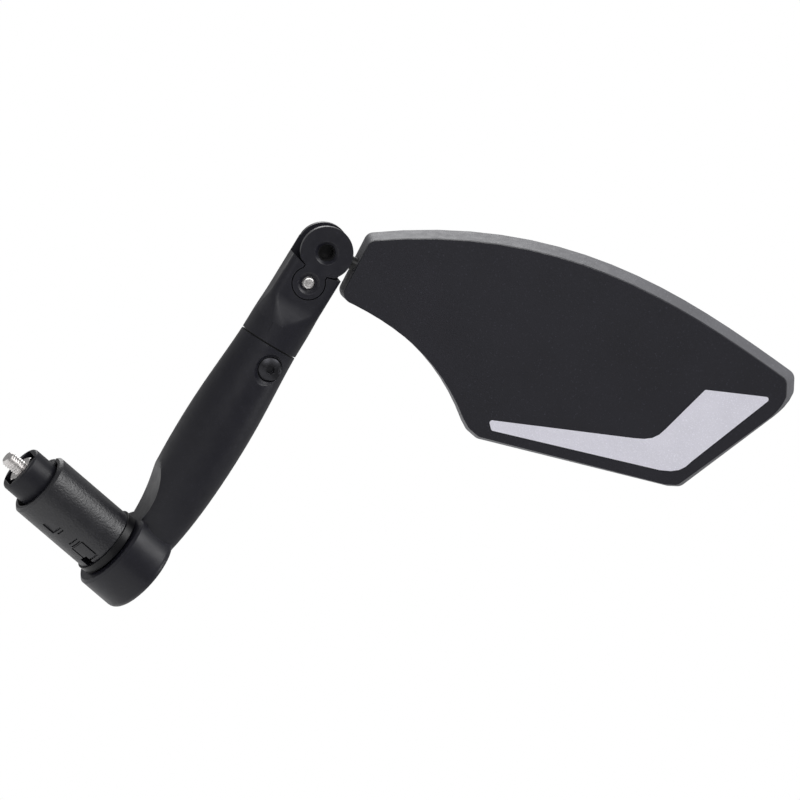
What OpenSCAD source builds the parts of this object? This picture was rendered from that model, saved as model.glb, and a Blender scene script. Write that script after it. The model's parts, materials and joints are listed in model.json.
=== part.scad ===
// Bar-end bike mirror on an expansion plug.
// Origin: plug axis at the collar face that meets the end of the handlebar.
// The plug points to -X, the arm stands up (+Z), the mirror looks to +Y.

/* [Plug] */
// Outer diameter of the expansion sleeve
sleeve_d = 20.7; // [17:0.1:25]
// Length of the expansion sleeve
sleeve_len = 27.4; // [22:0.1:34]
// Wall of the sleeve at its mouth
mouth_wall = 1.75; // [1.2:0.05:2.6]
// Bore diameter of the sleeve beside the collar
sleeve_bore_d = 11.6; // [9.6:0.1:14]
// Width of the slit that lets the sleeve spread
slit_w = 3; // [2:0.1:4]
// Angle of the slit round the plug, from the near side over the top
slit_angle = 115; // [90:1:170]
// How far the collar stands out past the sleeve, for the bar end to rest on
collar_lip = 0.65; // [0.4:0.05:1.5]
// Thickness of the collar
collar_t = 3; // [2:0.1:5]
// Space round the wedge's nose in the mouth of the sleeve
nose_space = 1.2; // [0.8:0.1:1.6]
// Length of the nose that stands out of the sleeve
nose_out = 7.6; // [5:0.1:12]
// How far the wedge is drawn in to spread the sleeve
wedge_travel = 3; // [1:0.1:3.4]

/* [Screws] */
// Thread diameter of the plug bolt
bolt_d = 5; // [4:0.5:6]
// Length of the plug bolt under its head
bolt_len = 50; // [46:0.5:60]
// Width across the flats of the plug bolt's nut
nut_af = 8; // [7:0.5:10]
// Thickness of the plug bolt's nut
nut_t = 4; // [3:0.1:5]
// Thread diameter of the arm and clamp screws
screw_d = 4; // [3:0.5:4]
// Head diameter of the arm and clamp screws
button_d = 7.4; // [6:0.1:8]
// Head height of the arm and clamp screws
button_h = 2.2; // [1.6:0.1:2.6]
// Thread diameter of the self-tapping screws
tapper_d = 3; // [2.5:0.1:3.2]
// Head diameter of the self-tapping screws
tapper_head_d = 5.4; // [4.5:0.1:5.6]

/* [Arm] */
// Distance from the plug axis to the swivel gap, along the arm
arm_len = 78.9; // [66:0.1:100]
// Lean of the arm towards the plug's tip
arm_lean = 10.5; // [5:0.1:15]
// Diameter of the arm at the swivel
arm_top_d = 18.5; // [17:0.1:22.4]
// Diameter of the arm at its belly
arm_belly_d = 21.4; // [18:0.1:26]
// Diameter of the boss round the plug bolt
boss_d = 27.8; // [25:0.1:32]
// Thickness of the boss
boss_t = 13.6; // [12:0.1:18]
// Wall of the arm shells
shell_wall = 2.2; // [1.6:0.1:3]
// Distance of the arm screw below the swivel gap
arm_screw_drop = 6.4; // [6.4:0.1:9]
// Sideways offset of the arm screw from the arm's axis
arm_screw_side = 2.2; // [0:0.1:3]

/* [Neck] */
// Gap between the arm and the neck
swivel_gap = 0.5; // [0.4:0.05:1]
// Height of the ball's centre above the swivel gap
ball_height = 32.4; // [29:0.1:40]
// Diameter of the ball
ball_d = 12; // [10:0.1:14.4]
// How deep the ball sits in the plate and in the far ear
ball_bite = 1.8; // [1.6:0.1:2.4]
// Thickness of plate and ear over the top of the ball
ball_cover = 1; // [0.8:0.1:2]
// Wall of the round lobes about the ball's seats
lobe_wall = 2.4; // [1.8:0.1:3.2]
// Distance from the ball to the clamp screw
clamp_reach = 10.6; // [10.6:0.1:14]
// Turn of the neck about the arm, as set
neck_turn = -10; // [-30:1:30]

/* [Mirror head] */
// Depth of the head from its back to the rim's front edge
head_t = 11; // [10.6:0.1:14]
// Space between the lobes and the near end of the head
head_clear = 1.4; // [1.3:0.1:4]
// Length of the head
head_len = 137; // [115:1:165]
// Height of the head at its widest, as a share of the standard outline
head_height_k = 1; // [0.85:0.01:1.2]
// Slope of the head's side wall, as an inset over its depth
head_draft = 2.1; // [1:0.1:3]
// Wall of the rim
rim_wall = 1.9; // [1.4:0.1:2.6]
// Thickness of the mirror glass
glass_t = 1.8; // [1.2:0.1:2]
// Turn of the head about the upright, as set
head_turn = -20; // [-30:1:-10]
// Rise of the head's long axis, as set
head_rise = 17; // [10:1:30]
// Roll of the head about its stalk, as set
head_roll = 8; // [0:1:12]

/* [Hidden] */
$fn = 72;

black = [0.07, 0.07, 0.08];
charcoal = [0.13, 0.13, 0.14];
steel = [0.72, 0.72, 0.74];

fit = 0.1;
gap = 0.3;
eps = 0.01;
// where round shapes of the arm start, away from its parting plane and screws
seam_turn = 40;

// Plug stations along X
nose_end = -sleeve_len - nose_out;
spigot_len = 5;
// depth of the shallow seat in the collar that the sleeve's end stands in
seat_sink = 0.4;
// chamfer of the sleeve's end there
sleeve_edge = 0.2;
wedge_tail = -(spigot_len + wedge_travel + 1.5);
spigot_d = sleeve_bore_d - 2 * fit;
sleeve_mouth_d = sleeve_d - 2 * mouth_wall;
collar_d = sleeve_d + 2 * collar_lip;
nose_d = sleeve_mouth_d - 2 * nose_space;
wedge_tail_d = sleeve_bore_d - 1;
key_space = 0.7;
key_w = slit_w - 2 * key_space;
key_d = sleeve_d - 2.4;
bolt_hole_d = bolt_d + 0.6;
bolt_head_d = bolt_d * 1.7;
bolt_key = 4;
bolt_chamfer = 0.8;
washer_t = 1;
washer_d = 2 * bolt_d;
boss_x = collar_t;
boss_end = boss_x + boss_t;
bolt_seat = boss_end - 6.9;
washer_seat = bolt_seat - washer_t;
recess_d = washer_d + 0.4;
bolt_tip = bolt_seat - bolt_len;
nut_sink = 0.3;

// Arm
arm_foot_x = boss_end - 4.4;
boss_edge = 2.2;
boss_inner_edge = 0.8;
foot_s = 8;
foot_d = 14.7;
// hollow band on the arm's plug side
band_r = 30;
band_z = 10;
band_sink = 0.15;
belly_s = 46;
lip_t = 1.9;
flange_t = 1.8;
pivot_d = 8;
flange_d = 11.2;
arm_top = arm_len - swivel_gap / 2;
flange_low = arm_len - lip_t - flange_t - 3 * fit;
hollow_low = 30;
hollow_top = flange_low - 9;
arm_screw_s = arm_len - arm_screw_drop;
button_seat = arm_top_d / 2 - 2.4;
dish_d = 10.4;
arm_nut_af = 7;
arm_nut_t = 2.2;
arm_nut_seat = flange_d / 2 + 3 * fit;
post_d = tapper_d + 3.8;
post_stations = [25.5, 57];
post_side = 1;
boss_screw_z = -(recess_d / 2 + tapper_d / 2 + 2.6);
tapper_head_t = 2;
tapper_seat = 6;
tapper_grip = 6;

// Neck
half_space = ball_d / 2 - ball_bite;
neck_face = ball_d / 2 + ball_cover;
plate_t = neck_face - half_space;
base_h = 6.5;
block_low = 15;
block_round = 2.4;
blend_steps = 5;
seat_t = 1.6;
seat_d = ball_d - 0.8;
lobe_d = seat_d + 2 * lobe_wall;
ear_w = lobe_d + 0.8;
peep_d = 5.2;
tail_lobe_d = 9.8;
waist_w = 7.4;
clamp_s = ball_height - clamp_reach;
shoulder_in = lobe_d / 2 - 1.8;
shoulder_out = lobe_d / 2 - 3.4;
ball_point = [arm_foot_x - (arm_len + ball_height) * sin(arm_lean), 0,
    (arm_len + ball_height) * cos(arm_lean)];

// Standard outline of the head that head_len and head_height_k scale
outline_len = 137;
outline_h = 62;
outline_start = 9.3;

// Head, in its own frame: x along the stalk, z across, y towards the glass
head_start = lobe_d / 2 + head_clear;
head_back = -4.7;
head_front = head_back + head_t;
plate_edge = 1.2;
back_t = 1.7;
stalk_d = 4;
stalk_end = head_start + 15;
pad_t = 0.6;
glass_front = head_front - 0.3;
pad_back = glass_front - glass_t - pad_t;
skirt_wall = 1.4;
head_mid = [head_start + head_len / 2, 0];
cradle_x = head_start + 6;
cradle_len = 8;
cradle_w = 12.4;
bracket_side = 4.2;
bracket_screw_d = 2.5;
bracket_head_d = 3.8;
bracket_head_t = 1.3;
groove_len = 2;
groove_d = stalk_d - 1.2;
core_d = peep_d - 0.6;
core_floor = 1.2;

// Point of a cubic curve with ends a and d, drawn towards b and c
function bezier(t, a, b, c, d) =
    pow(1 - t, 3) * a + 3 * pow(1 - t, 2) * t * b + 3 * (1 - t) * t * t * c + pow(t, 3) * d;
function curve(n, a, b, c, d) = [for (i = [0:n]) bezier(i / n, a, b, c, d)];

// ---- placing ----

// Local +z becomes the plug's +X
module at_x(x) {
    translate([x, 0, 0]) rotate([0, 90, 0]) children();
}

// Local z runs up the arm from the plug axis
module in_arm() {
    translate([arm_foot_x, 0, 0]) rotate([0, -arm_lean, 0]) children();
}

// Local z runs up the neck from the swivel gap, -y is the side with the clamp plate
module in_neck() {
    in_arm() translate([0, 0, arm_len]) rotate([0, 0, neck_turn]) children();
}

// Origin at the ball
module in_head() {
    translate(ball_point) rotate([0, 0, head_turn]) rotate([0, -head_rise, 0])
        rotate([head_roll, 0, 0]) children();
}

// A flat outline in x and z made solid from y0 to y1
module slab(y0, y1) {
    translate([0, y1, 0]) rotate([90, 0, 0]) linear_extrude(y1 - y0) children();
}

// A cylinder along +y
module rod_y(d, y0, y1) {
    translate([0, y0, 0]) rotate([-90, 0, 0]) cylinder(d = d, h = y1 - y0);
}

// ---- fasteners ----

// Button-head screw along +y: head above y = 0, hex socket in its crown
module button_screw(len) {
    difference() {
        union() {
            rod_y(screw_d, 0, len);
            rotate([90, 0, 0]) rotate_extrude() intersection() {
                translate([0, button_h - button_d]) circle(d = 2 * button_d);
                square([button_d / 2, button_h]);
            }
        }
        translate([0, -button_h - eps, 0]) rotate([-90, 0, 0])
            cylinder(d = screw_d * 0.7, h = 1.4, $fn = 6);
    }
}

// Pan-head self-tapping screw along -y, its head seated at y = 0 and above
module tapping_screw(d, head_d, head_t, len) {
    difference() {
        union() {
            rod_y(d, -len + d / 2, head_t / 2);
            translate([0, -len, 0]) rotate([-90, 0, 0]) cylinder(d1 = 0.8, d2 = d, h = d / 2);
            rod_y(head_d, 0, head_t);
        }
        for (a = [0, 90]) rotate([0, a, 0])
            translate([-head_d * 0.32, head_t * 0.4, -0.35]) cube([head_d * 0.64, head_t, 0.7]);
    }
}

// ---- plug ----

module sleeve_mark(x, angle, len, wide, deep) {
    rotate([angle, 0, 0]) translate([x - len / 2, -sleeve_d / 2 - 1, -wide / 2])
        cube([len, 1 + deep, wide]);
}

module expansion_sleeve() {
    color(charcoal) difference() {
        at_x(-sleeve_len) rotate_extrude() polygon([
            [sleeve_mouth_d / 2, 0],
            [sleeve_d / 2 - 0.8, 0],
            [sleeve_d / 2, 0.8],
            [sleeve_d / 2, sleeve_len - sleeve_edge],
            [sleeve_d / 2 - sleeve_edge, sleeve_len + seat_sink],
            [sleeve_bore_d / 2, sleeve_len + seat_sink],
            [sleeve_bore_d / 2, sleeve_len - 8],
        ]);
        // slit along the whole sleeve
        rotate([-slit_angle, 0, 0]) translate([-sleeve_len - 1, -sleeve_d, -slit_w / 2])
            cube([sleeve_len - spigot_len, sleeve_d, slit_w]);
        // shallow grip marks on the near side
        sleeve_mark(-17.6, 44, 4.4, 3, 0.5);
        for (x = [-15.7, -14.5]) sleeve_mark(x, 38, 0.5, 2.6, 0.6);
        for (x = [-9.6, -8.4]) sleeve_mark(x, 36, 0.5, 3.6, 0.6);
        // groove round the snap tongue
        difference() {
            sleeve_mark(-4.6, 37, 6.6, 4.8, 0.6);
            sleeve_mark(-4.8, 37, 5.8, 3.8, 1);
        }
        // window of the snap tongue
        sleeve_mark(-1.6, 50, 3.2, 3, sleeve_d / 2);
    }
}

module seat_collar() {
    color(black) difference() {
        at_x(-spigot_len) rotate_extrude() polygon([
            [bolt_hole_d / 2, 0],
            [spigot_d / 2 - 0.4, 0],
            [spigot_d / 2, 0.4],
            [spigot_d / 2, spigot_len + seat_sink],
            [sleeve_d / 2 + fit, spigot_len + seat_sink],
            [sleeve_d / 2 + fit, spigot_len],
            [collar_d / 2, spigot_len],
            [collar_d / 2, spigot_len + collar_t - 0.6],
            [collar_d / 2 - 0.6, spigot_len + collar_t],
            [bolt_hole_d / 2, spigot_len + collar_t],
        ]);
        // the sleeve's window goes on through the spigot
        intersection() {
            sleeve_mark(-1.6, 50, 3.2, 3, sleeve_d / 2);
            at_x(-spigot_len) cylinder(d = sleeve_d, h = spigot_len - eps);
        }
    }
}

module wedge() {
    tail = wedge_tail - nose_end;
    color(charcoal) difference() {
        union() {
            at_x(nose_end) rotate_extrude() polygon([
                [0, 0],
                [nose_d / 2 - 0.8, 0],
                [nose_d / 2 - 0.25, 0.25],
                [nose_d / 2, 0.8],
                [nose_d / 2, nose_out],
                [wedge_tail_d / 2, tail],
                [0, tail],
            ]);
            // key that runs in the sleeve's slit
            intersection() {
                rotate([-slit_angle, 0, 0])
                    translate([nose_end + nose_out + 1, -key_d / 2, -key_w / 2])
                        cube([tail - nose_out - 4, key_d / 2, key_w]);
                at_x(nose_end) cylinder(d = key_d, h = tail);
            }
        }
        at_x(nose_end - 1) cylinder(d = bolt_hole_d, h = tail + 2);
        // pocket of the nut, longer than the nut from corner to corner
        translate([nose_end - 1, -nut_af / 2 - fit, -nut_af * 0.7])
            cube([1 + nut_sink + nut_t + fit, nut_af + 2 * fit, nut_af * 1.4]);
    }
}

module wedge_nut() {
    color(steel) at_x(nose_end + nut_sink) difference() {
        intersection() {
            cylinder(d = nut_af / cos(30), h = nut_t, $fn = 6);
            translate([0, 0, -eps]) cylinder(d1 = nut_af, d2 = nut_af + 4 * nut_t, h = nut_t + 1);
        }
        translate([0, 0, -1]) cylinder(d = bolt_d + fit, h = nut_t + 2);
    }
}

module plug_bolt() {
    color(steel) difference() {
        union() {
            at_x(bolt_tip)
                cylinder(d1 = bolt_d - 2 * bolt_chamfer, d2 = bolt_d, h = bolt_chamfer);
            at_x(bolt_tip + bolt_chamfer - eps)
                cylinder(d = bolt_d, h = bolt_len - bolt_chamfer + 2 * eps);
            at_x(bolt_seat) cylinder(d = bolt_head_d, h = bolt_d - 0.5);
            at_x(bolt_seat + bolt_d - 0.5)
                cylinder(d1 = bolt_head_d, d2 = bolt_head_d - 1, h = 0.5);
        }
        at_x(bolt_seat + bolt_d - 3) cylinder(d = bolt_key / cos(30), h = bolt_key, $fn = 6);
    }
}

module bolt_washer() {
    color(steel) at_x(washer_seat) difference() {
        cylinder(d = washer_d, h = washer_t);
        translate([0, 0, -1]) cylinder(d = bolt_d + 0.3, h = washer_t + 2);
    }
}

// ---- arm ----

// Half profile of the arm as [radius, height], inset by a wall
function arm_profile(wall) = concat(
    curve(12, [foot_d / 2 - wall, foot_s], [foot_d / 2 + 2 - wall, 2 * foot_s],
        [arm_belly_d / 2 - wall, belly_s - 16], [arm_belly_d / 2 - wall, belly_s]),
    curve(12, [arm_belly_d / 2 - wall, belly_s], [arm_belly_d / 2 - wall, belly_s + 14],
        [arm_top_d / 2 + 0.25 - wall, arm_top - 9.6], [arm_top_d / 2 - wall, arm_top]));

module arm_skin() {
    difference() {
        union() {
            in_arm() rotate([0, 0, seam_turn]) rotate_extrude()
                polygon(concat([[0, foot_s]], arm_profile(0), [[0, arm_top]]));
            at_x(boss_x) rotate([0, 0, seam_turn]) rotate_extrude() polygon(concat(
                [[0, 0], [boss_d / 2 - boss_inner_edge, 0], [boss_d / 2, boss_inner_edge]],
                [for (a = [0:15:90]) [
                    boss_d / 2 - boss_edge + boss_edge * cos(a),
                    boss_t - boss_edge + boss_edge * sin(a)]],
                [[0, boss_t]]));
        }
        // room for the collar and the bar
        at_x(-boss_t) cylinder(d = collar_d + 4 * gap, h = boss_t + boss_x);
        // hollow band that leads the boss's face up the arm into a pointed arch
        translate([boss_x + band_sink - band_r, 0, band_z]) rod_y(2 * band_r, -boss_d, boss_d);
    }
}

// Everything that is cut out of both shells
module arm_hollow() {
    // space inside the arm
    in_arm() difference() {
        rotate([0, 0, seam_turn]) rotate_extrude() polygon(concat([[0, hollow_low]],
            [for (p = arm_profile(shell_wall)) if (p[1] > hollow_low && p[1] < hollow_top) p],
            [[0, hollow_top]]));
        for (s = post_stations) translate([post_side, 0, s]) rod_y(post_d, -boss_d, boss_d);
    }
    // swivel: bore of the lip and chamber of the flange
    in_arm() translate([0, 0, flange_low]) cylinder(d = pivot_d + 2 * fit, h = arm_len);
    in_arm() translate([0, 0, flange_low - fit])
        cylinder(d = flange_d + 4 * fit, h = flange_t + 2 * fit);
    // plug bolt, washer and key access
    at_x(boss_x - 1) cylinder(d = bolt_hole_d, h = boss_t + 2);
    at_x(washer_seat) cylinder(d = recess_d, h = boss_t);
    // arm screw in its dish
    in_arm() translate([arm_screw_side, 0, arm_screw_s]) {
        rod_y(screw_d + 2 * fit, -boss_d, boss_d);
        rod_y(button_d + 4 * fit, -boss_d, -button_seat);
        translate([0, -button_seat - 1.3, 0]) rotate([90, 0, 0])
            cylinder(d1 = button_d + 0.6, d2 = dish_d + 3, h = 3);
        translate([0, arm_nut_seat, 0]) rotate([-90, 30, 0])
            cylinder(d = (arm_nut_af + 2 * fit) / cos(30), h = boss_d, $fn = 6);
    }
    // self-tapping screws, put in from the far side
    at_tappers() {
        rod_y(tapper_d + fit, -tapper_grip - 1, boss_d);
        rod_y(tapper_head_d + 0.4, tapper_seat, boss_d);
    }
}

module at_tappers() {
    for (s = post_stations) in_arm() translate([post_side, 0, s]) children();
    translate([boss_x + boss_t / 2, 0, boss_screw_z]) children();
}

// Block that takes away one side of the parting plane
module side_block(y) {
    translate([-2 * arm_len, y, -arm_len]) cube([4 * arm_len, arm_len, 3 * arm_len]);
}

module arm_front_shell() {
    color(black) difference() {
        arm_skin();
        arm_hollow();
        side_block(0);
    }
}

module arm_back_shell() {
    color(black) difference() {
        arm_skin();
        arm_hollow();
        side_block(-arm_len);
    }
}

module shell_screws() {
    color(steel) at_tappers() translate([0, tapper_seat, 0])
        tapping_screw(tapper_d, tapper_head_d, tapper_head_t, tapper_seat + tapper_grip);
}

module arm_screw() {
    color(black) in_arm() translate([arm_screw_side, -button_seat, arm_screw_s])
        button_screw(button_seat + arm_nut_seat + arm_nut_t);
}

module arm_screw_nut() {
    color(steel) in_arm() translate([arm_screw_side, arm_nut_seat, arm_screw_s]) difference() {
        intersection() {
            rotate([-90, 30, 0]) cylinder(d = arm_nut_af / cos(30), h = arm_nut_t, $fn = 6);
            rotate([-90, 0, 0]) translate([0, 0, -eps])
                cylinder(d1 = arm_nut_af + 4 * arm_nut_t, d2 = arm_nut_af, h = arm_nut_t + eps);
        }
        rod_y(screw_d + fit, -1, arm_nut_t + 1);
    }
}

module friction_washer() {
    color(charcoal) in_arm() translate([0, 0, arm_top]) difference() {
        cylinder(d = arm_top_d - 2, h = swivel_gap - fit);
        translate([0, 0, -1]) cylinder(d = pivot_d + 4 * fit, h = swivel_gap + 2);
    }
}

// ---- neck and ball clamp ----

// Keyhole outline of the clamp plate about the ball: round lobe, waist and tail lobe
module plate_outline(grow) {
    offset(delta = grow) offset(r = 0.6) offset(delta = -0.6) {
        intersection() {
            circle(d = lobe_d);
            polygon([
                [-lobe_d, -shoulder_out + 3], [-lobe_d / 2, -shoulder_out],
                [-waist_w / 2, -shoulder_in], [waist_w / 2, -shoulder_in],
                [lobe_d / 2, -shoulder_out], [lobe_d, -shoulder_out + 3],
                [lobe_d, lobe_d], [-lobe_d, lobe_d],
            ]);
        }
        translate([-waist_w / 2, -clamp_reach]) square([waist_w, clamp_reach]);
        translate([0, -clamp_reach]) circle(d = tail_lobe_d);
    }
}

// Outline of the neck between its round base (t = 0) and its block (t = 1)
module neck_plan(t) {
    wide = arm_top_d + t * (ear_w - arm_top_d);
    deep = arm_top_d + t * (2 * neck_face - arm_top_d);
    round = arm_top_d / 2 + t * (block_round - arm_top_d / 2) - (t < 1 ? eps : 0);
    offset(r = round) square([wide - 2 * round, deep - 2 * round], center = true);
}

module blend_slice(t) {
    translate([0, 0, base_h + t * (block_low - base_h)]) linear_extrude(eps)
        neck_plan(t * t * (3 - 2 * t), $fn = 32);
}

// Everything of the neck above its round base
module neck_block() {
    difference() {
        union() {
            translate([0, 0, block_low]) linear_extrude(ball_height - block_low)
                neck_plan(1);
            // the round base turns into the block
            for (i = [0:blend_steps - 1]) hull() {
                blend_slice(i / blend_steps);
                blend_slice((i + 1) / blend_steps);
            }
            // far ear
            translate([0, 0, ball_height]) rod_y(lobe_d, half_space, neck_face);
        }
        // the space for the ball and plate, between sloping shoulders
        translate([0, 0, ball_height]) {
            slab(-lobe_d, half_space) polygon([
                [-lobe_d, shoulder_in - 2 * shoulder_out - gap],
                [-waist_w / 2, -shoulder_in - gap],
                [waist_w / 2, -shoulder_in - gap],
                [lobe_d, shoulder_in - 2 * shoulder_out - gap],
                [lobe_d, lobe_d],
                [-lobe_d, lobe_d],
            ]);
            sphere(d = ball_d + 2 * gap);
            // the far ear is round above the ball's centre line
            slab(half_space - eps, 2 * neck_face) difference() {
                translate([-lobe_d, 0]) square([2 * lobe_d, lobe_d]);
                circle(d = lobe_d);
            }
        }
    }
}

module neck() {
    color(black) in_neck() difference() {
        union() {
            translate([0, 0, swivel_gap / 2]) cylinder(d = arm_top_d, h = base_h - swivel_gap / 2);
            neck_block();
            translate([0, 0, -lip_t - flange_t - fit]) cylinder(d = flange_d, h = flange_t - fit);
            translate([0, 0, -lip_t - flange_t]) cylinder(d = pivot_d, h = lip_t + flange_t + 1);
        }
        // keyhole recess of the clamp plate
        translate([0, 0, ball_height]) slab(-2 * neck_face, -half_space + gap)
            plate_outline(gap);
        // seat and peep hole of the far ear
        translate([0, 0, ball_height]) {
            rod_y(seat_d + fit, half_space - 1, half_space + seat_t + fit / 2);
            rod_y(peep_d, 0, 2 * neck_face);
        }
        // clamp screw and its sunk head
        translate([0, 0, clamp_s]) {
            rod_y(screw_d + 2 * fit, -2 * neck_face, 2 * neck_face);
            rod_y(button_d + 4 * fit, neck_face - button_h - 0.2, 2 * neck_face);
        }
    }
}

module clamp_plate() {
    color(black) in_neck() difference() {
        translate([0, 0, ball_height]) slab(-neck_face, -half_space) plate_outline(0);
        translate([0, -neck_face, ball_height]) {
            rod_y(seat_d + fit, plate_t - seat_t - fit / 2, neck_face);
            rod_y(peep_d, -1, neck_face);
            rotate([-90, 0, 0]) translate([0, 0, -eps])
                cylinder(d1 = peep_d + 2, d2 = peep_d, h = 1);
        }
        translate([0, -neck_face, clamp_s]) {
            rod_y(screw_d + fit, -1, neck_face);
            rotate([-90, 0, 0]) translate([0, 0, -eps])
                cylinder(d1 = screw_d + 2.8, d2 = screw_d + 0.6, h = 0.9);
        }
    }
}

module clamp_screw() {
    color(steel) in_neck() translate([0, neck_face - button_h - 0.2, clamp_s])
        rotate([0, 0, 180]) button_screw(2 * neck_face - button_h - 0.2 - fit);
}

// Two rings with a round seat for the ball, one in the plate and one in the far ear
module ball_seats() {
    color(charcoal) in_neck() translate([0, 0, ball_height]) for (side = [0, 180])
        rotate([0, 0, side]) difference() {
            rod_y(seat_d, half_space, half_space + seat_t);
            sphere(d = ball_d + fit);
            rod_y(peep_d, 0, 2 * neck_face);
        }
}

module ball_stud() {
    color(charcoal) difference() {
        in_head() rotate([0, 90, 0]) {
            sphere(d = ball_d);
            cylinder(d = stalk_d, h = stalk_end);
        }
        // groove that the bracket's ridge runs in
        in_head() translate([cradle_x + cradle_len / 2 - groove_len / 2, 0, 0])
            rotate([0, 90, 0]) difference() {
                cylinder(d = ball_d, h = groove_len);
                translate([0, 0, -1]) cylinder(d = groove_d, h = groove_len + 2);
            }
        // blind core of the moulded ball, open behind the plate's peep hole
        in_neck() translate([0, 0, ball_height]) rod_y(core_d, -ball_d, core_floor);
    }
}

// ---- mirror head ----

// Outline of the head with its near end at x = head_start
module head_outline(inset) {
    offset(delta = -inset) offset(r = 3) offset(delta = -3) translate([head_start, 0])
        scale([head_len / outline_len, head_height_k]) translate([-outline_start, 0]) polygon(concat(
            curve(16, [outline_start, 9.5], [61, 39.6], [102, 32.9], [144.2, 24.2]),
            curve(4, [146.3, 19], [146.5, 15], [145, 12], [143.8, 9.6]),
            [[127.2, -21.4], [123.5, -22.9]],
            [[65, -33.8], [61, -32.6]],
            curve(12, [58.4, -30.6], [44, -16], [28, -11.6], [outline_start - 1.1, -11.4])));
}

// Part of the tapered head between two depths, inset from its skin
module head_layer(y0, y1, inset) {
    length_k = 2 * head_draft / head_len;
    height_k = 2 * head_draft / outline_h;
    far = [1 - length_k * (head_front - y1) / head_t, 1 - height_k * (head_front - y1) / head_t];
    near = [1 - length_k * (head_front - y0) / head_t, 1 - height_k * (head_front - y0) / head_t];
    translate([head_mid[0], y1, head_mid[1]]) rotate([90, 0, 0])
        linear_extrude(y1 - y0, scale = [near[0] / far[0], near[1] / far[1]], slices = 1)
            scale(far) translate(-head_mid) head_outline(inset);
}

// A block about the stalk, from one side of the bracket
module cradle_block(y0, y1) {
    translate([cradle_x, y0, -cradle_w / 2]) cube([cradle_len, y1 - y0, cradle_w]);
}

// Room for the stalk with a ridge left for its groove
module stalk_bore() {
    rotate([0, 90, 0]) difference() {
        translate([0, 0, ball_d / 2]) cylinder(d = stalk_d + fit, h = stalk_end);
        translate([0, 0, cradle_x + cradle_len / 2 - groove_len / 2 + fit]) difference() {
            cylinder(d = ball_d, h = groove_len - 2 * fit);
            translate([0, 0, -1]) cylinder(d = groove_d + fit, h = groove_len + 2);
        }
    }
}

module at_bracket_screws() {
    for (z = [-bracket_side, bracket_side])
        translate([cradle_x + cradle_len / 2, pad_back - 0.2 - bracket_head_t, z]) children();
}

module back_housing() {
    color(black) in_head() difference() {
        union() {
            head_layer(head_back, head_back + back_t, 0);
            // skirt inside the rim
            difference() {
                head_layer(head_back + plate_edge, pad_back, rim_wall + fit);
                head_layer(head_back, pad_back + 1, rim_wall + fit + skirt_wall);
            }
            cradle_block(head_back + back_t - eps, -fit);
        }
        // ledge that the rim sits on
        difference() {
            head_layer(head_back + plate_edge, head_back + back_t + eps, -1);
            head_layer(head_back, head_back + back_t + 1, rim_wall + fit);
        }
        stalk_bore();
        rotate([0, 90, 0]) cylinder(d = stalk_d + 2 * fit, h = cradle_x - eps);
        at_bracket_screws() rod_y(bracket_screw_d + fit, -6.2, 3);
    }
}

module rim() {
    color([0.35, 0.35, 0.37]) in_head() difference() {
        head_layer(head_back + plate_edge, head_front, 0);
        head_layer(head_back, head_front + 1, rim_wall);
        rotate([0, 90, 0]) cylinder(d = stalk_d + 4 * fit, h = cradle_x);
    }
}

module mirror_glass() {
    color([0.8, 0.85, 0.9]) in_head() slab(glass_front - glass_t, glass_front)
        head_outline(rim_wall + 2 * gap);
}

module adhesive_pad() {
    color([0.2, 0.2, 0.2]) in_head() slab(pad_back, pad_back + pad_t)
        head_outline(rim_wall + 4 * gap);
}

module reflector() {
    color([0.75, 0.75, 0.8]) in_head() slab(head_back - 0.2, head_back)
        offset(r = 0.8) offset(delta = -0.8) translate([head_start, 0])
            scale([head_len / outline_len, head_height_k])
            translate([-outline_start, 0]) polygon(concat(
                [[65.9, -25.6]],
                curve(4, [108, -12.4], [112.5, -11], [114.2, -9.6], [115.4, -6]),
                [[121.3, 9.85], [140.6, 16.1]],
                curve(4, [126.6, -11.6], [125.4, -15], [124, -16.6], [119, -18]),
                [[68, -28.2]]));
}

module stud_clamp() {
    color(charcoal) in_head() difference() {
        cradle_block(fit, pad_back - 0.1);
        stalk_bore();
        at_bracket_screws() {
            rod_y(bracket_screw_d + fit, -8, 1);
            rod_y(bracket_head_d + 2 * fit, 0, 3);
        }
    }
}

module bracket_screws() {
    color(steel) in_head() at_bracket_screws()
        tapping_screw(bracket_screw_d, bracket_head_d, bracket_head_t, 6);
}

expansion_sleeve();
seat_collar();
wedge();
wedge_nut();
plug_bolt();
bolt_washer();
arm_front_shell();
arm_back_shell();
shell_screws();
arm_screw();
arm_screw_nut();
friction_washer();
neck();
clamp_plate();
clamp_screw();
ball_seats();
ball_stud();
back_housing();
rim();
mirror_glass();
adhesive_pad();
reflector();
stud_clamp();
bracket_screws();
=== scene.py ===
"""Looks of the bar-end bike mirror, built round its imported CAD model. Metres, in the model's frame."""
import json
import math

import bpy
from mathutils import Matrix, Quaternion, Vector


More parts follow.
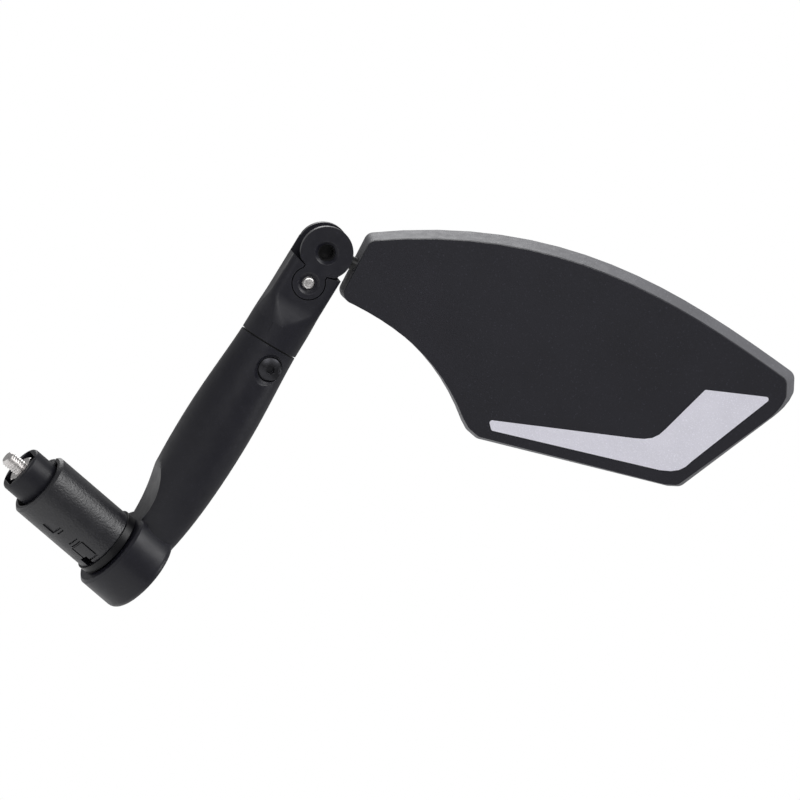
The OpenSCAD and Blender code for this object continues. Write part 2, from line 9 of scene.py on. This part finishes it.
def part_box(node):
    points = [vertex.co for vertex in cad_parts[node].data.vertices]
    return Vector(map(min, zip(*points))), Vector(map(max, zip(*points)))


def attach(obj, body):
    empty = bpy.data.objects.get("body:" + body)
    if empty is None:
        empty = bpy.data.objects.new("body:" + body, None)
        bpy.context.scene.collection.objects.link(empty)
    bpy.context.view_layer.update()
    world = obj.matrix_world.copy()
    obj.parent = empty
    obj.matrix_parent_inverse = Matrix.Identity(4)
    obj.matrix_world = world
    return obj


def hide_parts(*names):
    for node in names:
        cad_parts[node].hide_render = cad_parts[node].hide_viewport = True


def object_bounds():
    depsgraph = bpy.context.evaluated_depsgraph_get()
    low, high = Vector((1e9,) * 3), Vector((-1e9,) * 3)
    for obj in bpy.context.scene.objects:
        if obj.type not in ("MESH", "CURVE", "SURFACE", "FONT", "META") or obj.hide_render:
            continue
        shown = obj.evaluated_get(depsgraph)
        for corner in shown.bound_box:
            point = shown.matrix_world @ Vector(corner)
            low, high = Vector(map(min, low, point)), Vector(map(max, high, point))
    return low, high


MM = 0.001

# ---- camera: level, and rolled so that the arm leans to the right ----
AZIMUTH = math.radians(-20)
ROLL = math.radians(41.44)
AIM = Vector((41.7, 0, 90.68)) * MM
DISTANCE = 2.0
FIELD = 242.9 * MM
SENSOR = 36

# ---- real sizes that the looks need ----
PLUG_THREAD = (5.0 * MM, 0.8 * MM)
CLAMP_THREAD = (4.0 * MM, 0.7 * MM)
THREAD_DEPTH = 0.58
STEPS_PER_PITCH = 10
SHANK_CLEARANCE = 0.02 * MM
PLUG_THREAD_LEN = 22 * MM
PLUG_KEY = 4 * MM
CLAMP_KEY = 2.5 * MM
CLAMP_HEAD = 2.2 * MM

# ---- studio: each light's direction, distance, size and power ----
AMBIENT = 0.30
WHITE = (1, 1, 1, 1)
LIGHTS = {
    "key": ((0.1, -0.45, 1.0), 1.5, 0.9, 13),
    "edge": ((1.0, -0.25, 0.5), 1.4, 0.4, 3),
    "back": ((-0.3, 1.2, 0.7), 1.6, 1.0, 8),
    "glow": ((-0.75, -1.0, 0.55), 0.55, 0.3, 0.9),
}
FLOOR_SIZE = 2.4
FLOOR_DROP = 240 * MM


def add_camera():
    data = bpy.data.cameras.new("camera")
    data.sensor_width = SENSOR
    data.lens = SENSOR * DISTANCE / FIELD
    data.clip_start = 0.05
    data.clip_end = 50
    camera = bpy.data.objects.new("camera", data)
    bpy.context.scene.collection.objects.link(camera)
    back = Vector((math.sin(AZIMUTH), -math.cos(AZIMUTH), 0))
    camera.rotation_mode = "QUATERNION"
    camera.rotation_quaternion = (-back).to_track_quat("-Z", "Y") @ Quaternion((0, 0, 1), ROLL)
    camera.location = AIM + back * DISTANCE
    bpy.context.scene.camera = camera


# ---- light and floor ----

def area_light(name, toward, distance, size, power):
    """A soft square light that shines on the object from the direction given."""
    data = bpy.data.lights.new(name, "AREA")
    data.shape = "SQUARE"
    data.size = size
    data.energy = power
    light = bpy.data.objects.new(name, data)
    bpy.context.scene.collection.objects.link(light)
    direction = Vector(toward).normalized()
    light.location = AIM + direction * distance
    light.rotation_euler = direction.to_track_quat("Z", "Y").to_euler()


def add_studio():
    """A white background for the camera, a dimmer one for the light, and the lamps."""
    scene = bpy.context.scene
    scene.view_settings.view_transform = "Standard"
    world = bpy.data.worlds.new("studio")
    scene.world = world
    world.use_nodes = True
    tree = world.node_tree
    light = tree.nodes["Background"]
    seen = tree.nodes.new("ShaderNodeBackground")
    for node, strength in ((light, AMBIENT), (seen, 1.0)):
        node.inputs["Strength"].default_value = strength
        node.inputs["Color"].default_value = WHITE
    path = tree.nodes.new("ShaderNodeLightPath")
    mix = tree.nodes.new("ShaderNodeMixShader")
    tree.links.new(path.outputs["Is Camera Ray"], mix.inputs["Fac"])
    tree.links.new(light.outputs[0], mix.inputs[1])
    tree.links.new(seen.outputs[0], mix.inputs[2])
    tree.links.new(mix.outputs[0], tree.nodes["World Output"].inputs["Surface"])
    for name, (toward, distance, size, power) in LIGHTS.items():
        area_light(name, toward, distance, size, power)


def add_floor(lowest):
    """A pale floor, far enough below the floating mirror to stay out of the main view."""
    bpy.ops.mesh.primitive_plane_add(size=FLOOR_SIZE, location=(AIM.x, 0, lowest - FLOOR_DROP))
    floor = bpy.context.object
    floor.name = "floor"
    look = Look("floor_paper", (0.93, 0.93, 0.93), 0.9)
    look.grain(0.4 * MM, 0.02 * MM)
    floor.data.materials.append(look.material)


# ---- procedural materials ----

class Look:
    """A procedural material that is built up step by step."""

    def __init__(self, name, colour, roughness, metallic=0.0, specular=0.5):
        self.material = bpy.data.materials.new(name)
        self.material.use_nodes = True
        self.tree = self.material.node_tree
        self.shader = self.tree.nodes["Principled BSDF"]
        self.place = self.add("ShaderNodeTexCoord").outputs["Object"]
        self.colour = colour
        self.roughness = roughness
        self.height = None
        self.set("Base Color", (*colour, 1))
        self.set("Roughness", roughness)
        self.set("Metallic", metallic)
        self.set("Specular IOR Level", specular)

    def set(self, name, value):
        self.shader.inputs[name].default_value = value

    def add(self, kind, **inputs):
        node = self.tree.nodes.new(kind)
        for name, value in inputs.items():
            socket = node.inputs[name.replace("_", " ")]
            if isinstance(value, bpy.types.NodeSocket):
                self.tree.links.new(value, socket)
            else:
                socket.default_value = value
        return node

    def link(self, value, name):
        self.tree.links.new(value, self.shader.inputs[name])

    def noise(self, size, detail=3.0, stretch=None):
        """Noise between 0 and 1 whose features are about size across."""
        place = self.place
        if stretch:
            place = self.add("ShaderNodeMapping", Vector=place, Scale=stretch).outputs[0]
        return self.add("ShaderNodeTexNoise", Vector=place, Scale=1 / size,
                        Detail=detail).outputs["Fac"]

    def remap(self, value, low, high, to_low, to_high):
        node = self.add("ShaderNodeMapRange", Value=value)
        for i, v in enumerate((low, high, to_low, to_high)):
            node.inputs[i + 1].default_value = v
        return node.outputs[0]

    def maths(self, kind, a, b):
        node = self.tree.nodes.new("ShaderNodeMath")
        node.operation = kind
        for i, v in enumerate((a, b)):
            if isinstance(v, bpy.types.NodeSocket):
                self.tree.links.new(v, node.inputs[i])
            else:
                node.inputs[i].default_value = v
        return node.outputs[0]

    def blend(self, amount, a, b):
        """Colour a where amount is 0 and b where it is 1."""
        node = self.tree.nodes.new("ShaderNodeMix")
        node.data_type = "RGBA"
        self.tree.links.new(amount, node.inputs[0])
        for socket, value in ((node.inputs[6], a), (node.inputs[7], b)):
            if isinstance(value, bpy.types.NodeSocket):
                self.tree.links.new(value, socket)
            else:
                socket.default_value = (*value, 1)
        return node.outputs[2]

    def shade(self, factor):
        return tuple(c * factor for c in self.colour)

    def mottle(self, size, spread):
        """Slow change of tone over the surface."""
        amount = self.remap(self.noise(size), 0.3, 0.7, 0, 1)
        self.tone = self.blend(amount, self.shade(1 - spread), self.shade(1 + spread))
        self.link(self.tone, "Base Color")

    def flecks(self, size, level, colour):
        """Small light specks, as in glass-filled plastic."""
        amount = self.remap(self.noise(size, 1.0), level, level + 0.06, 0, 1)
        self.tone = self.blend(amount, self.tone, colour)
        self.link(self.tone, "Base Color")

    def painted_edge_highlight(self, width, colour, amount=0.5):
        """A painted highlight: a lighter tone on the edges, broken up by noise."""
        bevel = self.add("ShaderNodeBevel", Radius=width)
        bevel.samples = 4
        true = self.add("ShaderNodeNewGeometry").outputs["Normal"]
        dot = self.tree.nodes.new("ShaderNodeVectorMath")
        dot.operation = "DOT_PRODUCT"
        self.tree.links.new(bevel.outputs[0], dot.inputs[0])
        self.tree.links.new(true, dot.inputs[1])
        edge = self.remap(dot.outputs["Value"], 0.99, 0.8, 0, 1)
        broken = self.remap(self.noise(2.5 * MM), 0.35, 0.7, 0.3, 1)
        mask = self.maths("MULTIPLY", self.maths("MULTIPLY", edge, broken), amount)
        # painted highlight: the edge mask lightens the base colour where light would catch the rounded
        # edges
        self.tone = self.blend(mask, self.tone, colour)
        self.link(self.tone, "Base Color")

    def polish(self, size, spread):
        """Roughness that changes a little from place to place."""
        value = self.remap(self.noise(size, 4.0), 0.3, 0.7, self.roughness - spread,
                           self.roughness + spread)
        self.link(value, "Roughness")

    def raise_by(self, height, distance):
        """Adds one more layer of bumps to those already there."""
        bump = self.add("ShaderNodeBump", Height=height, Distance=distance, Strength=1.0)
        if self.height:
            self.tree.links.new(self.height, bump.inputs["Normal"])
        self.height = bump.outputs[0]
        self.link(self.height, "Normal")

    def grain(self, size, depth, detail=2.0, stretch=None):
        self.raise_by(self.noise(size, detail, stretch), depth)

    def cells(self, size, depth):
        """A pattern of small raised cells."""
        node = self.add("ShaderNodeTexVoronoi", Vector=self.place, Scale=1 / size)
        self.raise_by(node.outputs["Distance"], depth)


def moulded(name, colour, roughness, grain, depth, specular=0.3, edge_highlight_amount=0.25):
    """Moulded plastic with a fine surface grain and a painted highlight on its edges."""
    look = Look(name, colour, roughness, specular=specular)
    look.mottle(16 * MM, 0.10)
    look.flecks(0.5 * MM, 0.66, look.shade(1.9))
    # painted edge highlight: edges coloured lighter to stand in for the light they catch
    look.painted_edge_highlight(0.5 * MM, tuple(min(1, c + 0.05) for c in look.shade(1.8)), edge_highlight_amount)
    look.polish(3 * MM, 0.05)
    look.grain(9 * MM, 0.06 * MM)
    look.grain(grain, depth)
    return look.material


def metal(name, colour, roughness, scratch):
    """Plated steel with fine marks from machining and handling."""
    look = Look(name, colour, roughness, metallic=1.0)
    look.mottle(1.6 * MM, 0.12)
    look.polish(0.8 * MM, 0.07)
    look.grain(0.6 * MM, scratch, 2.0, (3, 1, 1))
    return look.material


def silvered_glass():
    look = Look("mirror_silver", (0.86, 0.88, 0.90), 0.03, metallic=1.0)
    look.mottle(40 * MM, 0.015)
    look.polish(7 * MM, 0.02)
    look.grain(30 * MM, 0.004 * MM)
    return look.material


def reflective_film():
    """Silver film with rows of tiny prisms under its clear face."""
    look = Look("reflector_silver", (0.70, 0.69, 0.77), 0.38, specular=0.5)
    look.mottle(9 * MM, 0.03)
    look.flecks(0.35 * MM, 0.6, (0.80, 0.79, 0.88))
    look.polish(2 * MM, 0.04)
    look.cells(0.9 * MM, 0.03 * MM)
    look.set("Coat Weight", 0.3)
    look.set("Coat Roughness", 0.15)
    return look.material


def foam():
    look = Look("pad_foam", (0.03, 0.03, 0.032), 0.9)
    look.mottle(5 * MM, 0.2)
    look.cells(0.35 * MM, 0.2 * MM)
    return look.material


def make_materials():
    return {
        "arm_plastic": moulded("arm_black", (0.0068, 0.0067, 0.0112), 0.38, 0.35 * MM, 0.010 * MM,
                              0.4),
        "housing_plastic": moulded("housing_black", (0.0122, 0.0120, 0.0172), 0.55, 0.4 * MM,
                                   0.045 * MM, edge_highlight_amount=0.1),
        "rim_plastic": moulded("rim_grey", (0.125, 0.125, 0.137), 0.5, 0.45 * MM, 0.015 * MM,
                               edge_highlight_amount=0.1),
        "sleeve_plastic": moulded("sleeve_nylon", (0.0052, 0.0051, 0.0082), 0.38, 0.7 * MM,
                                  0.12 * MM, 0.7),
        "collar_plastic": moulded("collar_black", (0.0030, 0.0030, 0.0040), 0.34, 0.3 * MM,
                                  0.006 * MM, edge_highlight_amount=0.1),
        "wedge_plastic": moulded("wedge_black", (0.0105, 0.0106, 0.0145), 0.4, 0.4 * MM, 0.01 * MM),
        "nylon": moulded("nylon_black", (0.02, 0.02, 0.021), 0.35, 0.4 * MM, 0.01 * MM),
        "steel": metal("zinc_steel", (0.72, 0.70, 0.69), 0.30, 0.001 * MM),
        "black_steel": metal("black_oxide_steel", (0.045, 0.045, 0.05), 0.34, 0.004 * MM),
        "mirror": silvered_glass(),
        "foam": foam(),
        "reflector_film": reflective_film(),
    }


# ---- CAD nodes: softened edges and materials ----

EDGE_RADIUS = {
    "arm_front_shell": 0.30, "arm_back_shell": 0.30, "neck": 0.35, "clamp_plate": 0.40,
    "back_housing": 0.25, "rim": 0.35, "expansion_sleeve": 0.18, "seat_collar": 0.20,
    "wedge": 0.20, "reflector": 0.05, "stud_clamp": 0.25, "mirror_glass": 0.20,
    "wedge_nut": 0.12, "arm_screw": 0.10, "arm_screw_nut": 0.12, "shell_screws": 0.10,
    "bracket_screws": 0.08, "bolt_washer": 0.10,
}


def soften(obj, radius):
    """Joins the flat faces and rounds the sharp edges."""
    weld = obj.modifiers.new("weld", "WELD")
    weld.merge_threshold = 0.002 * MM
    flat = obj.modifiers.new("flat_faces", "DECIMATE")
    flat.decimate_type = "DISSOLVE"
    flat.angle_limit = math.radians(0.5)
    bevel = obj.modifiers.new("soft_edges", "BEVEL")
    bevel.width = radius * MM
    bevel.segments = 3
    bevel.limit_method = "ANGLE"
    bevel.angle_limit = math.radians(32)
    bevel.miter_outer = "MITER_ARC"
    normals = obj.modifiers.new("face_normals", "WEIGHTED_NORMAL")
    normals.keep_sharp = True
    obj.data.polygons.foreach_set("use_smooth", [True] * len(obj.data.polygons))


def dress_nodes(nodes, materials):
    for name, obj in nodes.items():
        slot = obj.material_slots[0].material.name.split(".")[0]
        obj.material_slots[0].material = materials[slot]
        if name in EDGE_RADIUS:
            soften(obj, EDGE_RADIUS[name])


# ---- turned pieces with real threads ----

def turned(name, rings, turns, matrix, material):
    """A closed mesh from rings of (x, radius at an angle), with turns points to a ring."""
    angles = [2 * math.pi * i / turns for i in range(turns)]
    points = []
    for x, radius in rings:
        for a in angles:
            r = radius(a) if callable(radius) else radius
            points.append(matrix @ Vector((x, r * math.cos(a), r * math.sin(a))))
    faces = [tuple(range(turns))]
    for k in range(len(rings) - 1):
        low, high = k * turns, (k + 1) * turns
        for i in range(turns):
            j = (i + 1) % turns
            faces.append((low + j, low + i, high + i, high + j))
    faces.append(tuple(reversed(range((len(rings) - 1) * turns, len(rings) * turns))))
    mesh = bpy.data.meshes.new(name)
    mesh.from_pydata(points, [], faces)
    mesh.polygons.foreach_set("use_smooth", [True] * len(mesh.polygons))
    mesh.materials.append(material)
    obj = bpy.data.objects.new(name, mesh)
    bpy.context.scene.collection.objects.link(obj)
    normals = obj.modifiers.new("face_normals", "WEIGHTED_NORMAL")
    normals.keep_sharp = True
    return obj


def hexagon(across_flats):
    def radius(angle):
        return across_flats / 2 / math.cos((angle % (math.pi / 3)) - math.pi / 6)
    return radius


def thread_rings(x0, x1, diameter, pitch, chamfer):
    """Rings of a screw thread from its tip at x0 to x1, its crests at the full diameter."""
    depth = THREAD_DEPTH * pitch
    steps = math.ceil((x1 - x0) / pitch * STEPS_PER_PITCH)

    def ring(x):
        crest = diameter / 2 - max(0, chamfer - (x - x0))

        def radius(angle):
            phase = (x / pitch - angle / (2 * math.pi)) % 1
            return min(crest, diameter / 2 - depth * (1 - abs(2 * phase - 1)) ** 0.8)
        return x, radius
    return [ring(x0 + (x1 - x0) * k / steps) for k in range(steps + 1)]


def extent(node, matrix):
    """Lowest and highest corner of a CAD node in a local frame."""
    inverse = matrix.inverted()
    points = [inverse @ v.co for v in frame["nodes"][node].data.vertices]
    low = Vector([min(p[i] for p in points) for i in range(3)])
    high = Vector([max(p[i] for p in points) for i in range(3)])
    return low, high


def joint(name):
    return next(j for j in frame["joints"] if j["name"] == name)


def screw_frame(axis):
    """Axes with x along the screw."""
    return Vector(axis).to_track_quat("X", "Z").to_matrix().to_4x4()


def plug_bolt(materials):
    """Socket-head bolt with its thread showing at the nut end."""
    low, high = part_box("plug_bolt")
    diameter, pitch = PLUG_THREAD
    head_r = high.z
    head_x = high.x - diameter
    thread_end = low.x + PLUG_THREAD_LEN
    rings = thread_rings(low.x, thread_end, diameter, pitch, 0.8 * MM)
    shank_r = diameter / 2 - SHANK_CLEARANCE

    def knurl(angle):
        return head_r - 0.10 * MM * abs(math.sin(18 * angle))

    rings += [(thread_end + 0.4 * MM, shank_r), (head_x, shank_r), (head_x, head_r - 0.15 * MM),
              (head_x + 0.15 * MM, knurl), (high.x - 0.75 * MM, knurl),
              (high.x - 0.5 * MM, head_r - 0.02 * MM), (high.x - 0.12 * MM, head_r - 0.42 * MM),
              (high.x, head_r - 0.6 * MM), (high.x, PLUG_KEY / 2 + 0.42 * MM)]
    socket = hexagon(PLUG_KEY)
    rings += [(high.x - 0.25 * MM, socket), (high.x - 2.8 * MM, socket),
              (high.x - 3.6 * MM, 0.1 * MM)]
    bolt = turned("threaded_plug_bolt", rings, 144, Matrix.Identity(4), materials["steel"])
    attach(bolt, "bolt")
    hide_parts("plug_bolt")


def clamp_screw(materials):
    """Button-head screw through the ball clamp, its threaded end flush with the plate."""
    axis = Vector(joint("head_swing")["axis"])
    matrix = screw_frame(-axis)
    low, high = extent("clamp_screw", matrix)
    centre = (low + high) / 2
    matrix = matrix @ Matrix.Translation((0, centre.y, centre.z))
    diameter, pitch = CLAMP_THREAD
    head_r = (high.y - low.y) / 2
    head_x = high.x - CLAMP_HEAD
    rings = thread_rings(low.x, head_x - 0.6 * MM, diameter, pitch, 0.5 * MM)
    rings = [(low.x + 0.1 * MM, 0.5 * MM), (low.x, 1.0 * MM)] + rings
    edge = 0.1 * MM
    rings += [(head_x, diameter / 2 - SHANK_CLEARANCE), (head_x, head_r - edge),
              (head_x + edge, head_r)]
    # the crown, from the rim of the head up to its flat
    crown_angle = math.radians(77)
    crown_rise = CLAMP_HEAD - edge
    crown_steps = 7
    for k in range(1, crown_steps + 1):
        a = crown_angle * k / crown_steps
        rings.append((head_x + edge + crown_rise * math.sin(a) / math.sin(crown_angle),
                      head_r * (0.42 + 0.58 * math.cos(a)) + 0.05 * MM))
    socket = hexagon(CLAMP_KEY)
    rings += [(high.x, CLAMP_KEY / 2 + 0.3 * MM), (high.x - 0.15 * MM, socket),
              (high.x - 1.3 * MM, socket), (high.x - 1.7 * MM, 0.1 * MM)]
    screw = turned("threaded_clamp_screw", rings, 96, matrix, materials["steel"])
    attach(screw, "neck")
    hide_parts("clamp_screw")


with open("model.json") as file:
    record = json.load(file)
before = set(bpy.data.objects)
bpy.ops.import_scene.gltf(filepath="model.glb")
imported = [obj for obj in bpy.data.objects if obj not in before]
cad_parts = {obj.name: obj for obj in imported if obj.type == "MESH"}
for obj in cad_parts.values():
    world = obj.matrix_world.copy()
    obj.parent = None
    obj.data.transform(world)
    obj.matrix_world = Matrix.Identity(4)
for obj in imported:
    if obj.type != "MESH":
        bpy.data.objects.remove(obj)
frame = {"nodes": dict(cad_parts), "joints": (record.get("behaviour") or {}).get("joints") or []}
cad_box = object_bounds()
add_camera()
add_studio()
add_floor(cad_box[0].z)
materials = make_materials()
dress_nodes(frame["nodes"], materials)
plug_bolt(materials)
clamp_screw(materials)
